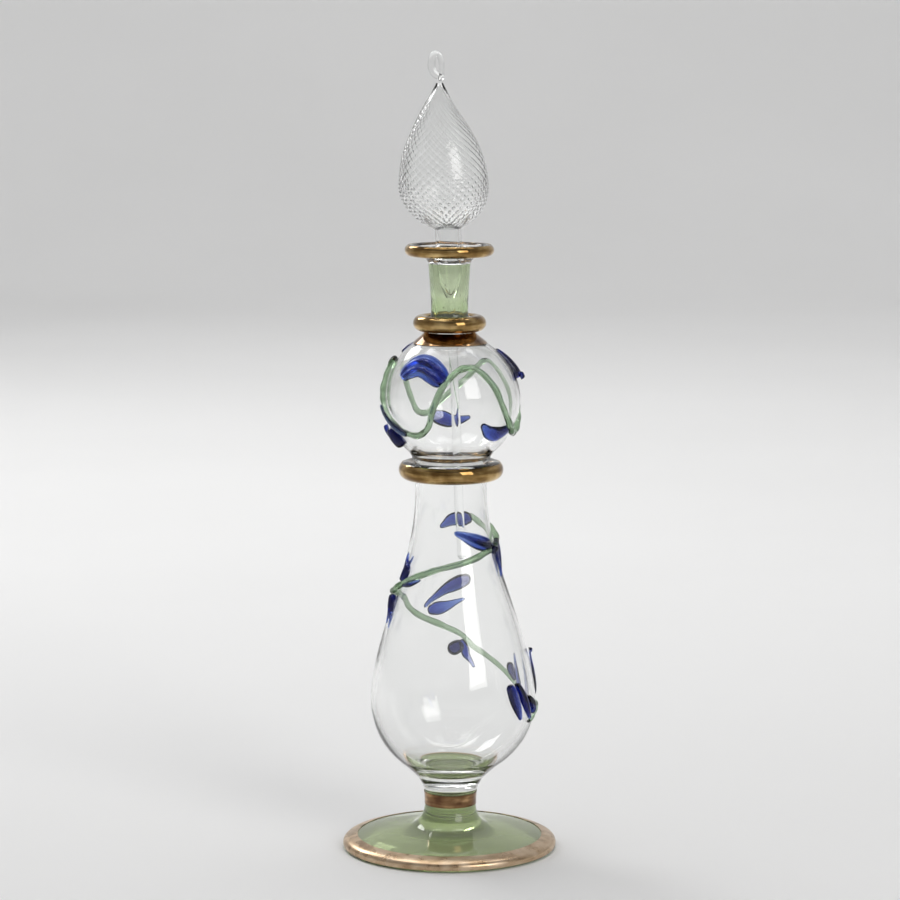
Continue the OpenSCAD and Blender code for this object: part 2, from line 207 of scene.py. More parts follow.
globe_collar = bezier((9.15, GLOBE_Z + 14.1), (8.0, GLOBE_Z + 15.1), (6.9, GLOBE_Z + 15.9),
                      (6.25, GLOBE_Z + 16.7), 16)
globe_outside = joined(
    (WAIST_R, WAIST_Z + FUSED_GAP), (WAIST_R, WAIST_Z + WAIST_JOIN),
    bezier((WAIST_R, 98.05), (9.3, 98.5), (9.8, 99.4), (10.0, 100.0), 8),
    arc((0, GLOBE_Z), GLOBE_R, -50, 56, 90),
    globe_collar,
    bezier((6.25, GLOBE_Z + 16.7), (5.9, 131.0), (5.4, 131.4), (SHOULDER_CORE_R, 131.9), 6),
    (SHOULDER_CORE_R, SHOULDER_Z - SHOULDER_JOIN), (SHOULDER_CORE_R, SHOULDER_Z))
globe_inside = joined(
    (WAIST_R - WALL, WAIST_Z + FUSED_GAP),
    bezier((WAIST_R - WALL, 97.6), (WAIST_R - WALL, 98.6), (8.1, 99.6), (8.8, 100.6), 10),
    arc((0, GLOBE_Z), GLOBE_R - WALL, -55, 64, 90),
    bezier((6.5, 128.6), (5.0, 129.5), (4.1, 130.7), (4, 132), 12),
    (4, SHOULDER_Z))

# The green of the neck is gathered thicker towards its lower end
neck_outside = joined(
    (SHOULDER_CORE_R, SHOULDER_Z + FUSED_GAP), (SHOULDER_CORE_R, SHOULDER_Z + SHOULDER_JOIN),
    (SHOULDER_CORE_R, 133.9),
    bezier((SHOULDER_CORE_R - 0.15, 134.3), (4.8, 134.8), (NECK_R, 135.0), (NECK_R, 136.0), 8),
    bezier((NECK_R, 136.0), (NECK_R + 0.05, 139.5), (NECK_R + 0.3, 143.5), (NECK_R + 0.65, FLANGE_Z), 24))
neck_inside = joined(
    (4, SHOULDER_Z + FUSED_GAP),
    bezier((4, 133.6), (2.9, 134.2), (3.1, 136.6), (BORE_R, 139.6), 14),
    bezier((BORE_R, 139.6), (BORE_R + 0.2, 142), (BORE_R + 0.3, 145), (BORE_R + 0.4, FLANGE_Z), 12))

flange_outside = joined(
    bezier((NECK_R + 0.65, FLANGE_Z + FUSED_GAP), (5.7, 149.3), (7.1, 149.9),
           (MOUTH_CORE_R, MOUTH_Z - MOUTH_JOIN), 20),
    (MOUTH_CORE_R, MOUTH_Z + MOUTH_JOIN))
flange_inside = joined(
    (BORE_R + 0.4, FLANGE_Z + FUSED_GAP), (BORE_R + 0.4, MOUTH_Z - 0.6),
    bezier((BORE_R + 0.4, MOUTH_Z - 0.6), (BORE_R + 0.45, MOUTH_Z + 0.4), (BORE_R + 0.7, MOUTH_Z + 0.8),
           (BORE_R + 1.3, MOUTH_Z + MOUTH_JOIN), 10))


def radius_at(outline, z):
    return np.interp(z, outline[:, 1], outline[:, 0])


# ---------------------------------------------------------------- uneven glass

def unevenness(az, z):
    """Radial swell, in mm, that hand blowing leaves in the two bodies. az is in radians."""
    return (0.07 * np.sin(2 * az + 0.07 * z + 0.6) + 0.045 * np.sin(3 * az - 0.13 * z)
            + 0.03 * np.sin(5 * az + 0.19 * z + 2.0))


def thickness_swell(az, z):
    """How the inside of a wall strays from its outside, in mm."""
    return 0.07 * np.sin(2 * az - 0.11 * z + 1.1) + 0.04 * np.sin(4 * az + 0.23 * z)


JOINT_HEIGHTS = (0, STEM_TOP, STEM_TOP + 8, WAIST_Z - 8, WAIST_Z - 2, WAIST_Z + 3, WAIST_Z + 9,
                 SHOULDER_Z - 9, SHOULDER_Z - 5, 200)
JOINT_FADE = (0, 0, 1, 1, 0, 0, 1, 1, 0, 0)


def bottle_swell(az, z):
    """The unevenness, which fades out where the rings and the neck are fused on."""
    return unevenness(az, z) * smooth_between(z, JOINT_HEIGHTS, JOINT_FADE)


# ---------------------------------------------------------------- meshes

def new_piece(name, points, faces, material, body, nodes, outward=True, joint_faces=None):
    """A smooth mesh piece that rides on a body and stands for CAD nodes. Points are in mm.
    The faces numbered in joint_faces are where it is fused to the next gather of glass."""
    mesh = bpy.data.meshes.new(name)
    mesh.from_pydata([tuple(p * MM) for p in points], [], faces)
    if outward:
        work = bmesh.new()
        work.from_mesh(mesh)
        bmesh.ops.recalc_face_normals(work, faces=work.faces)
        work.to_mesh(mesh)
        work.free()
    mesh.polygons.foreach_set("use_smooth", [True] * len(mesh.polygons))
    mesh.set_sharp_from_angle(angle=math.radians(55))
    mesh.materials.append(material)
    if joint_faces:
        mesh.materials.append(fused_joint)
        for i in joint_faces:
            mesh.polygons[i].material_index = 1
    piece = bpy.data.objects.new(name, mesh)
    bpy.context.scene.collection.objects.link(piece)
    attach(piece, body)
    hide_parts(*nodes)
    return piece


def faces_within(points, faces, zones):
    """Numbers of the faces whose middle lies in any (inner radius, outer radius, low, high) zone."""
    found = []
    for i, face in enumerate(faces):
        middle = np.mean([points[k] for k in face], axis=0)
        corner_r = max(math.hypot(points[k][0], points[k][1]) for k in face)
        for inner, outer, low, high in zones:
            if inner < corner_r < outer and low < middle[2] < high:
                found.append(i)
                break
    return found


def turned(loop, swell=None, segments=SEGMENTS):
    """Points and faces of a closed outline turned about the axis; swell(az, r, z, i) adds to the radius."""
    az = np.linspace(0, 2 * math.pi, segments, endpoint=False)
    points, rings = [], []
    for i, (r, z) in enumerate(loop):
        if r < 1e-6:
            rings.append([len(points)] * segments)
            points.append((0.0, 0.0, z))
            continue
        radius = r + (swell(az, r, z, i) if swell else 0)
        rings.append(list(range(len(points), len(points) + segments)))
        points.extend(zip(radius * np.sin(az), -radius * np.cos(az), np.full(segments, z)))
    faces = []
    for here, there in zip(rings, rings[1:] + rings[:1]):
        for k in range(segments):
            corners = [here[k], here[(k + 1) % segments], there[(k + 1) % segments], there[k]]
            corners = [c for n, c in enumerate(corners) if c != corners[n - 1]]
            if len(corners) > 2:
                faces.append(corners)
    return np.array(points), faces


def shell_loop(outside, inside):
    return joined(outside, inside[::-1])


def shell_swell(outside):
    """Swell for a shell: the bottle's own outside, and the strayed wall on the inside."""
    count = len(outside)

    def swell(az, r, z, i):
        fade = smooth_between(z, JOINT_HEIGHTS, JOINT_FADE) * min(1, r / 4)
        value = unevenness(az, z) * fade
        return value if i < count else value + thickness_swell(az, z) * fade
    return swell


def ring_loop(ring_r, rod_d, z, core_r, n=64):
    """Round section of a wound ring, cut off straight where it meets the glass inside it."""
    circle = arc((ring_r, z), rod_d / 2, 0, 360, n)[:-1]
    half = math.sqrt((rod_d / 2) ** 2 - (ring_r - core_r) ** 2)
    cut = circle[circle[:, 0] > core_r + 0.02]
    angle = np.degrees(np.arctan2(cut[:, 1] - z, cut[:, 0] - ring_r))
    cut = cut[np.argsort(angle)]
    return np.vstack([[core_r, z - half], cut, [core_r, z + half]])


def film_loop(ring_r, rod_d, z, start, end, n=40):
    """Section of the lustre over a wound ring, between two angles round its rod."""
    outer = arc((ring_r, z), rod_d / 2, start, end, n)
    inner = arc((ring_r, z), rod_d / 2 - GILDING + FILM_GAP, end, start, n)
    return np.vstack([outer, inner])


def tube(centres, normals, radii, sides=20, closed=False, flatten=1.0):
    """Points and faces of a round rod along centres; normals says which way is off the glass."""
    centres, normals = np.array(centres), np.array(normals)
    count = len(centres)
    if closed:
        run = np.roll(centres, -1, axis=0) - np.roll(centres, 1, axis=0)
    else:
        run = np.gradient(centres, axis=0)
    run /= np.linalg.norm(run, axis=1)[:, None]
    side = np.cross(run, normals)
    side /= np.linalg.norm(side, axis=1)[:, None]
    out = np.cross(side, run)
    angle = np.linspace(0, 2 * math.pi, sides, endpoint=False)
    ring = (flatten * np.cos(angle)[None, :, None] * out[:, None, :]
            + np.sin(angle)[None, :, None] * side[:, None, :])
    points = (centres[:, None, :] + np.array(radii)[:, None, None] * ring).reshape(-1, 3)
    faces = []
    for i in range(count if closed else count - 1):
        j = (i + 1) % count
        for k in range(sides):
            m = (k + 1) % sides
            faces.append([i * sides + k, j * sides + k, j * sides + m, i * sides + m])
    if not closed:
        faces.append(list(range(sides)))
        faces.append([(count - 1) * sides + k for k in reversed(range(sides))])
    return points, faces


# ---------------------------------------------------------------- materials

def new_material(name):
    material = bpy.data.materials.new(name)
    material.use_nodes = True
    nodes, links = material.node_tree.nodes, material.node_tree.links
    return material, nodes, links, nodes["Principled BSDF"]


def noise(nodes, links, scale, detail=3.0, stretch=(1, 1, 1)):
    """Noise in the object's own space; scale is in cells per metre."""
    where = nodes.new("ShaderNodeTexCoord")
    mapping = nodes.new("ShaderNodeMapping")
    mapping.inputs["Scale"].default_value = stretch
    texture = nodes.new("ShaderNodeTexNoise")
    texture.inputs["Scale"].default_value = scale
    texture.inputs["Detail"].default_value = detail
    links.new(where.outputs["Object"], mapping.inputs["Vector"])
    links.new(mapping.outputs["Vector"], texture.inputs["Vector"])
    return texture.outputs["Fac"]


def ramp(nodes, links, source, stops):
    """Colour ramp from (place, colour) stops."""
    node = nodes.new("ShaderNodeValToRGB")
    while len(node.color_ramp.elements) < len(stops):
        node.color_ramp.elements.new(0.5)
    for element, (place, colour) in zip(node.color_ramp.elements, stops):
        element.position = place
        element.color = (*colour, 1) if len(colour) == 3 else colour
    links.new(source, node.inputs["Fac"])
    return node.outputs["Color"]


def grey(value):
    return (value, value, value)


def glass(name, tint, shade, absorbed=None, per_metre=0.0, milky=0.0):
    """Clear or tinted glass: a faint cloudiness in its tint, and depth of colour from its thickness.
    Milky glass scatters that share of the light instead of letting it through."""
    material, nodes, links, shader = new_material(name)
    shader.inputs["Transmission Weight"].default_value = 1 - milky
    shader.inputs["IOR"].default_value = 1.5
    shader.inputs["Roughness"].default_value = 0.0
    cloud = noise(nodes, links, 90, 4.0)
    links.new(ramp(nodes, links, cloud, [(0.35, shade), (0.65, tint)]), shader.inputs["Base Color"])
    if absorbed:
        volume = nodes.new("ShaderNodeVolumeAbsorption")
        volume.inputs["Color"].default_value = (*absorbed, 1)
        volume.inputs["Density"].default_value = per_metre
        links.new(volume.outputs["Volume"], nodes["Material Output"].inputs["Volume"])
    return material


def lustre(name, dark, middle, bright, smooth, rough):
    """Fired metal lustre: uneven, browner where it is thin, with fine brush streaks round the ring."""
    material, nodes, links, shader = new_material(name)
    shader.inputs["Metallic"].default_value = 1.0
    patches = noise(nodes, links, 260, 5.0)
    streaks = noise(nodes, links, 420, 2.0, (0.35, 0.35, 2.2))
    mixed = nodes.new("ShaderNodeMath")
    mixed.operation = "MULTIPLY_ADD"
    mixed.inputs[1].default_value = 0.45
    links.new(streaks, mixed.inputs[0])
    half = nodes.new("ShaderNodeMath")
    half.operation = "MULTIPLY"
    half.inputs[1].default_value = 0.55
    links.new(patches, half.inputs[0])
    links.new(half.outputs[0], mixed.inputs[2])
    colour = ramp(nodes, links, mixed.outputs[0], [(0.36, dark), (0.5, middle), (0.66, bright)])
    links.new(colour, shader.inputs["Base Color"])
    links.new(ramp(nodes, links, patches, [(0.3, grey(smooth)), (0.7, grey(rough))]),
              shader.inputs["Roughness"])
    bump = nodes.new("ShaderNodeBump")
    bump.inputs["Strength"].default_value = 0.12
    bump.inputs["Distance"].default_value = 0.0001
    links.new(streaks, bump.inputs["Height"])
    links.new(bump.outputs["Normal"], shader.inputs["Normal"])
    return material


def joint_material():
    """Where two gathers of glass are fused, light passes as if there were no surface."""
    material, nodes, links, shader = new_material("fused_joint")
    shader.inputs["Alpha"].default_value = 0.0
    cloud = noise(nodes, links, 90)
    links.new(ramp(nodes, links, cloud, [(0.3, grey(0.9)), (0.7, grey(1.0))]), shader.inputs["Base Color"])
    return material


clear_glass = glass("clear_glass", (0.995, 0.998, 0.996), (0.985, 0.99, 0.987))
foot_glass = glass("foot_glass", (0.86, 0.95, 0.62), (0.82, 0.92, 0.57), (0.50, 0.70, 0.12), 40, 0.24)
neck_glass = glass("neck_glass", (0.97, 0.98, 0.94), (0.94, 0.96, 0.89), (0.44, 0.66, 0.14), 330, 0.06)
vine_glass = glass("vine_glass", (0.95, 0.98, 0.94), (0.90, 0.95, 0.89), (0.40, 0.58, 0.36), 1100)
leaf_glass = glass("leaf_glass", (0.78, 0.86, 0.99), (0.70, 0.80, 0.98), (0.0, 0.22, 0.72), 3500)
gold = lustre("gold_lustre", (0.17, 0.095, 0.03), (0.34, 0.215, 0.08), (0.70, 0.50, 0.23), 0.03, 0.12)
copper = lustre("copper_lustre", (0.11, 0.055, 0.03), (0.23, 0.13, 0.065), (0.56, 0.36, 0.18), 0.04, 0.14)
tan = lustre("foot_lustre", (0.36, 0.24, 0.14), (0.58, 0.42, 0.27), (0.76, 0.61, 0.45), 0.20, 0.38)
fused_joint = joint_material()


# ---------------------------------------------------------------- bottle glass

def bottle_piece(name, points, faces, material, slot, outward=True, joints=()):
    found = faces_within(points, faces, joints) if joints else None
    return new_piece(name, drifted(points), faces, material, "bottle", [name], outward, found)


foot_under = joined((0, FOOT_ARCH),
                    bezier((2, FOOT_ARCH), (10, FOOT_ARCH), (14, 2.9), (18.5, 1.9), 36),
                    bezier((18.5, 1.9), (21, 1.3), (22.6, 0.2), (24, 0), 16), (GLASS_FOOT_R - 0.8, 0))
foot_top = bezier(tuple(foot_edge[0]), (18.5, 4.3), (12.8, 4.8), (9.8, 5.6), 30)
foot_loop = joined(foot_under, foot_edge[::-1], foot_top, stem_flare, stem_band, stem_crown,
                   (0, STEM_TOP - FUSED_GAP))
# Radius within which the foot and the reservoir are fused
JOINT_R = 6.9
# How near a face must lie to the height of a joint to count as fused there
TOUCH = 0.004
bottle_piece("foot", *turned(foot_loop), foot_glass, "green_glass",
             joints=[(0, JOINT_R, STEM_TOP - FUSED_GAP - 0.3, STEM_TOP)])

reservoir_loop = joined((0, STEM_TOP), shell_loop(reservoir_outside, reservoir_inside))
bottle_piece("reservoir", *turned(reservoir_loop, shell_swell(joined((0, STEM_TOP), reservoir_outside))),
             clear_glass, "clear_glass",
             joints=[(0, JOINT_R, STEM_TOP - TOUCH, STEM_TOP + TOUCH),
                     (WAIST_R - 0.1, WAIST_R + 0.1, WAIST_Z - WAIST_JOIN, WAIST_Z),
                     (0, 9, WAIST_Z - TOUCH, WAIST_Z + TOUCH)])
bottle_piece("globe", *turned(shell_loop(globe_outside, globe_inside), shell_swell(globe_outside)),
             clear_glass, "clear_glass",
             joints=[(0, 9, WAIST_Z + FUSED_GAP - TOUCH, WAIST_Z + FUSED_GAP + TOUCH),
                     (WAIST_R - 0.1, WAIST_R + 0.1, WAIST_Z, WAIST_Z + WAIST_JOIN),
                     (SHOULDER_CORE_R - 0.1, SHOULDER_CORE_R + 0.1, SHOULDER_Z - SHOULDER_JOIN, SHOULDER_Z),
                     (0, 6, SHOULDER_Z - TOUCH, SHOULDER_Z + TOUCH)])
bottle_piece("mouth_flange", *turned(shell_loop(flange_outside, flange_inside)), clear_glass, "clear_glass",
             joints=[(0, 6, FLANGE_Z + FUSED_GAP - TOUCH, FLANGE_Z + FUSED_GAP + TOUCH),
                     (MOUTH_CORE_R - 0.01, MOUTH_CORE_R + 0.01,
                      MOUTH_Z - MOUTH_JOIN, MOUTH_Z + MOUTH_JOIN - 0.01)])


def with_bubbles(points, faces, count, seed):
    """Adds small drawn-out air bubbles inside the neck's wall, their faces turned inwards."""
    chance = np.random.RandomState(seed)
    points, faces = list(points), list(faces)
    rows, columns = 8, 12
    for _ in range(count):
        az = chance.uniform(0, 2 * math.pi)
        z = chance.uniform(SHOULDER_Z + 3, FLANGE_Z - 1)
        middle = (radius_at(neck_outside, z) + radius_at(neck_inside, z)) / 2
        wide = chance.uniform(0.07, 0.15)
        tall = wide * chance.uniform(1.2, 2.6)
        centre = np.array([middle * math.sin(az), -middle * math.cos(az), z])
        first = len(points)
        points.append(centre - [0, 0, tall])
        for row in range(1, rows):
            down = math.pi * row / rows - math.pi / 2
            for column in range(columns):
                a = 2 * math.pi * column / columns
                points.append(centre + [wide * math.cos(down) * math.cos(a),
                                        wide * math.cos(down) * math.sin(a), tall * math.sin(down)])
        points.append(centre + [0, 0, tall])
        last = len(points) - 1
        for column in range(columns):
            after = (column + 1) % columns
            faces.append([first, first + 1 + column, first + 1 + after])
            for row in range(rows - 2):
                a, b = first + 1 + row * columns, first + 1 + (row + 1) * columns
                faces.append([a + column, b + column, b + after, a + after])
            end = first + 1 + (rows - 2) * columns
            faces.append([end + column, last, end + after])
    return points, faces


def faced_outwards(points, faces):
    """Faces of a closed mesh, all turned outwards."""
    mesh = bpy.data.meshes.new("turning")
    mesh.from_pydata([tuple(p) for p in points], [], faces)
    work = bmesh.new()
    work.from_mesh(mesh)
    bmesh.ops.recalc_face_normals(work, faces=work.faces)
    out = [[v.index for v in face.verts] for face in work.faces]
    work.free()
    bpy.data.meshes.remove(mesh)
    return out


BUBBLES = 26
BUBBLE_SEED = 5
neck_points, neck_faces = turned(shell_loop(neck_outside, neck_inside))
neck_faces = faced_outwards(neck_points, neck_faces)
neck_points, neck_faces = with_bubbles(neck_points, neck_faces, BUBBLES, BUBBLE_SEED)
bottle_piece("neck", np.array(neck_points), neck_faces, neck_glass, "green_glass", outward=False,
             joints=[(0, 6, SHOULDER_Z + FUSED_GAP - TOUCH, SHOULDER_Z + FUSED_GAP + TOUCH),
                     (SHOULDER_CORE_R - 0.1, SHOULDER_CORE_R + 0.1, SHOULDER_Z, SHOULDER_Z + SHOULDER_JOIN),
                     (0, 6, FLANGE_Z - TOUCH, FLANGE_Z + TOUCH)])


# ---------------------------------------------------------------- rings and lustre

# Each ring: circle it is wound on, its rod, its height, the glass inside it, and the angles
# round its rod between which its lustre runs
RINGS = {
    "waist_ring": (WAIST_R + 1.8, 4.8, WAIST_Z, WAIST_R, -150, 48),
    "shoulder_ring": (7.1, 4.0, SHOULDER_Z, SHOULDER_CORE_R, -128, 128),
    "mouth_ring": (9.6, 3.0, MOUTH_Z, MOUTH_CORE_R, -126, 62),
}

for ring, (wound_r, rod_d, ring_z, core_r, start, end) in RINGS.items():
    loop = ring_loop(wound_r, rod_d - 2 * GILDING, ring_z, core_r + FUSED_GAP)
    bottle_piece(ring, *turned(loop), clear_glass, "clear_glass",
                 joints=[(core_r, core_r + 0.03, ring_z - rod_d / 2, ring_z + rod_d / 2)])
    film = film_loop(wound_r, rod_d, ring_z, start, end)
    bottle_piece(ring + "_gilding", *turned(film), gold, "gold_lustre")


def film_over(run, centre):
    """Closed outline of a thin film over a run of points, pushed away from a centre."""
    away = run - np.array(centre)
    away /= np.linalg.norm(away, axis=1)[:, None]
    return np.vstack([run + away * (FILM_GAP + GILDING), (run + away * FILM_GAP)[::-1]])


bottle_piece("foot_rim_gilding", *turned(film_over(foot_edge, RIM_CENTRE)), tan, "foot_lustre")
band_film = film_over(stem_band, (0, (BAND_LOW + BAND_HIGH) / 2))
bottle_piece("stem_gilding", *turned(band_film), copper, "copper_lustre")
bottle_piece("collar_gilding", *turned(film_over(globe_collar, (0, GLOBE_Z))), copper, "copper_lustre")


# ---------------------------------------------------------------- vines

# Each vine as (azimuth, height); the one on the globe runs once round and closes on itself.
# These points, and the stations of the leaves below, were read off the photo by eye, laid on the
# glass by a scratch camera calculation and copied from its output, and some were then adjusted
GLOBE_VINE = [
    (-34, 106.9), (-26, 107.7), (-20, 109.6), (-16, 113.8), (-8, 118.7), (4, 122.0), (16, 123.0),
    (26, 122.3), (36, 118.9), (44, 113.8), (52, 110.4), (64, 107.4), (77, 106.3), (92, 107.2),
    (105, 109.8), (113, 112.4), (124, 117.2), (134, 121.8), (142, 123.0), (154, 121.2), (169, 117.4),
    (184, 113.7), (197, 110.3), (207, 108.8), (216, 109.8), (223, 113.9), (231, 118.0), (244, 121.6),
    (258, 123.4), (268, 121.8), (271, 118.2), (273, 115.2), (281, 112.6), (297, 109.7), (312, 107.5)]
RESERVOIR_VINE = [
    (147, 83.9), (133, 82.3), (112, 81.0), (91, 79.0), (67, 77.4), (46, 76.5), (20, 74.8), (-14, 73.0),
    (-32, 71.5), (-49, 70.0), (-66, 67.9), (-84, 65.7), (-104, 64.4), (-122, 62.5), (-134, 59.5),
    (-150, 56.3), (-172, 53.0), (-187, 50.6), (-196, 47.4), (-208, 45.0), (-222, 41.9), (-233, 39.1),
    (-248, 36.9), (-264, 36.6), (-277, 35.8), (-288, 34.6), (-295, 34.1)]
VINE_R = 0.8
VINE_FLATTEN = 0.92
SEAT_GAP = 0.03


def on_body(outline, az, z, lift):
    """Points on a blown body, lifted off its glass, and the way off the glass there. az is in degrees."""
    a = np.radians(az)
    step = 0.3
    radius = radius_at(outline, z) + bottle_swell(a, z)
    slope = (radius_at(outline, z + step) - radius_at(outline, z - step)) / (2 * step)
    length = np.sqrt(1 + slope ** 2)
    normal = np.stack([np.sin(a) / length, -np.cos(a) / length, -slope / length], axis=-1)
    foot_point = np.stack([radius * np.sin(a), -radius * np.cos(a), z * np.ones_like(a)], axis=-1)
    return foot_point + normal * np.asarray(lift)[..., None], normal


def vine(name, outline, route, closed, thin_from=None):
    """A drawn thread of glass laid on a body; past the fraction thin_from it gets thinner."""
    route = spline(route, 12, closed)
    along = np.arange(len(route))
    radii = VINE_R * (1 + 0.07 * np.sin(along * 0.21) + 0.05 * np.sin(along * 0.57 + 1))
    if not closed:
        from_end = np.minimum(along, along[::-1])
        radii *= 0.45 + 0.55 * np.clip(from_end / 8, 0, 1) ** 0.7
        radii *= smooth_between(along / along[-1], (0, thin_from, thin_from + 0.06, 1), (1, 1, 0.55, 0.6))
    lift = radii * VINE_FLATTEN + SEAT_GAP
    centres, normals = on_body(outline, route[:, 0], route[:, 1], lift)
    thread = tube(centres, normals, radii, closed=closed, flatten=VINE_FLATTEN)
    bottle_piece(name, *thread, vine_glass, "vine_glass")


vine("globe_vine", globe_outside, GLOBE_VINE, True)
vine("reservoir_vine", reservoir_outside, RESERVOIR_VINE, False, 0.77)


# ---------------------------------------------------------------- leaves

LEAF_ROWS = 48
LEAF_COLUMNS = 24


def lobe(outline, stations, thick, ribs=0, groove=0.0, lift=0.0, curl=0.0, blunt=0.4):
    """One pressed drop of glass. stations are (azimuth, height, width) from its base to its tip;
    thick is its thickness at base and tip; ribs and groove crease its face; lift holds it off the
    glass, curl raises its tip, and blunt is how far from each end it rounds off, in widths."""
    line = spline(stations, 14)
    az, z, width = line.T
    r = radius_at(outline, z)
    slope = (radius_at(outline, z + 0.3) - radius_at(outline, z - 0.3)) / 0.6
    length = np.sqrt(1 + slope ** 2)
    step = np.hypot(np.diff(np.radians(az)) * (r[1:] + r[:-1]) / 2,
                    np.diff(z) * (length[1:] + length[:-1]) / 2)
    far = np.concatenate([[0], np.cumsum(step)])
    place = far[-1] * (0.5 - 0.5 * np.cos(np.linspace(0, math.pi, LEAF_ROWS + 1)))
    az, z, width = (np.interp(place, far, column) for column in (az, z, width))
    r, length = np.interp(place, far, r), np.interp(place, far, length)
    run = np.stack([np.gradient(np.radians(az), place) * r, np.gradient(z, place) * length], axis=-1)
    run /= np.linalg.norm(run, axis=1)[:, None]
    widest = width.max()
    round_off = np.ones_like(place)
    for from_end, end_width in ((place, width[0]), (place[-1] - place, width[-1])):
        reach = max(blunt * max(end_width, 0.35 * widest), 0.15)
        near = np.clip(from_end / reach, 0.0, 1.0)
        round_off *= np.sqrt(np.clip(1 - (1 - near) ** 2, 0.0025, 1))
    half = (width / 2 * round_off)[:, None]
    s = np.sin(np.linspace(-math.pi / 2, math.pi / 2, LEAF_COLUMNS + 1))[None, :]
    off = s * half
    leaf_az = az[:, None] - off * run[:, 1:] / r[:, None] * 180 / math.pi
    leaf_z = z[:, None] + off * run[:, :1] / length[:, None]
    t = (place / place[-1])[:, None]
    fullness = (0.3 + 0.7 * (half / half.max()) ** 0.6) * round_off[:, None] ** 0.5
    depth = (thick[0] + (thick[1] - thick[0]) * t) * fullness
    crown = np.sqrt(np.clip(1 - s ** 2, 0, 1))
    across = 0.5 - 0.5 * np.cos(math.pi * ribs * (s + 1))
    crease = 1 - groove * across * np.sin(math.pi * np.clip(t, 0.08, 0.92)) ** 0.5
    raised = (SEAT_GAP + lift + curl * t ** 2.5) * np.ones_like(off)
    under, _ = on_body(outline, leaf_az, leaf_z, raised)
    over, _ = on_body(outline, leaf_az, leaf_z, raised + depth * crown * crease)
    # Face and underside meet along both edges, so each row is one closed ring
    ring = np.concatenate([under, over[:, -2:0:-1]], axis=1)
    sides = ring.shape[1]
    faces = [[i * sides + k, (i + 1) * sides + k, (i + 1) * sides + (k + 1) % sides,
              i * sides + (k + 1) % sides]
             for i in range(LEAF_ROWS) for k in range(sides)]
    faces.append(list(range(sides)))
    faces.append([LEAF_ROWS * sides + k for k in reversed(range(sides))])
    return ring.reshape(-1, 3), faces


def leaf(name, outline, lobes):
    """A leaf, bud or petal of one or more pressed drops, each described by lobe's arguments."""
    points, faces = [], []
    for shape in lobes:
        lobe_points, lobe_faces = lobe(outline, **shape)
        faces += [[k + sum(len(p) for p in points) for k in face] for face in lobe_faces]
        points.append(lobe_points)
    bottle_piece(name, np.vstack(points), faces, leaf_glass, "cobalt_glass")


GLOBE_LEAVES = [
    # The big arched leaf at the front, in three folds
    [dict(stations=[(-6.5, 119.7, 3.4), (-10, 120.6, 5.3), (-16, 122.0, 6.3), (-24, 123.2, 6.5),
                    (-35, 123.5, 6.2), (-45, 122.3, 5.2), (-52, 120.4, 3.2)],
          thick=(1.9, 0.9), ribs=3, groove=0.55, blunt=0.2)],
    [dict(stations=[(-112, 124.8, 1.4), (-118, 126.4, 2.3), (-125, 127.8, 1.0)], thick=(1.1, 0.7))],
    # The sliver at the right, with its drawn-off knob
    [dict(stations=[(96, 119.0, 2.4), (98, 121.4, 3.4), (98, 124.0, 2.8), (97, 126.4, 0.8)],
          thick=(1.9, 0.7)),
     dict(stations=[(96, 120.2, 1.2), (94, 119.3, 1.5), (92, 118.8, 1.2)], thick=(1.3, 1.2), lift=0.9)],
    [dict(stations=[(-82, 105.4, 1.0), (-85, 106.8, 1.5), (-86, 108.2, 1.3)], thick=(1.2, 1.2), lift=0.5)],
    # The drop below the front vine, and the dark streak it leaves along that vine
    [dict(stations=[(-75, 107.6, 1.8), (-72, 106.0, 3.1), (-67, 104.4, 3.2), (-63, 103.4, 2.4)],
          thick=(1.9, 1.9)),
     dict(stations=[(-82, 112.9, 0.9), (-72, 111.3, 1.4), (-60, 109.2, 1.7), (-50, 107.8, 1.6),
                    (-42, 107.2, 1.2)], thick=(0.5, 0.6), lift=1.25)],
    [dict(stations=[(62, 107.9, 1.8), (54, 107.2, 3.2), (46, 106.7, 4.1), (36, 107.3, 3.5),
                    (30, 108.5, 2.2), (26, 109.6, 1.1)], thick=(1.15, 0.8))],
    [dict(stations=[(200, 107.9, 3.2), (192, 107.2, 4.3), (183, 106.4, 3.9), (172, 106.6, 2.5),
                    (162, 107.5, 1.0)], thick=(1.4, 1.0), blunt=0.25)],
]
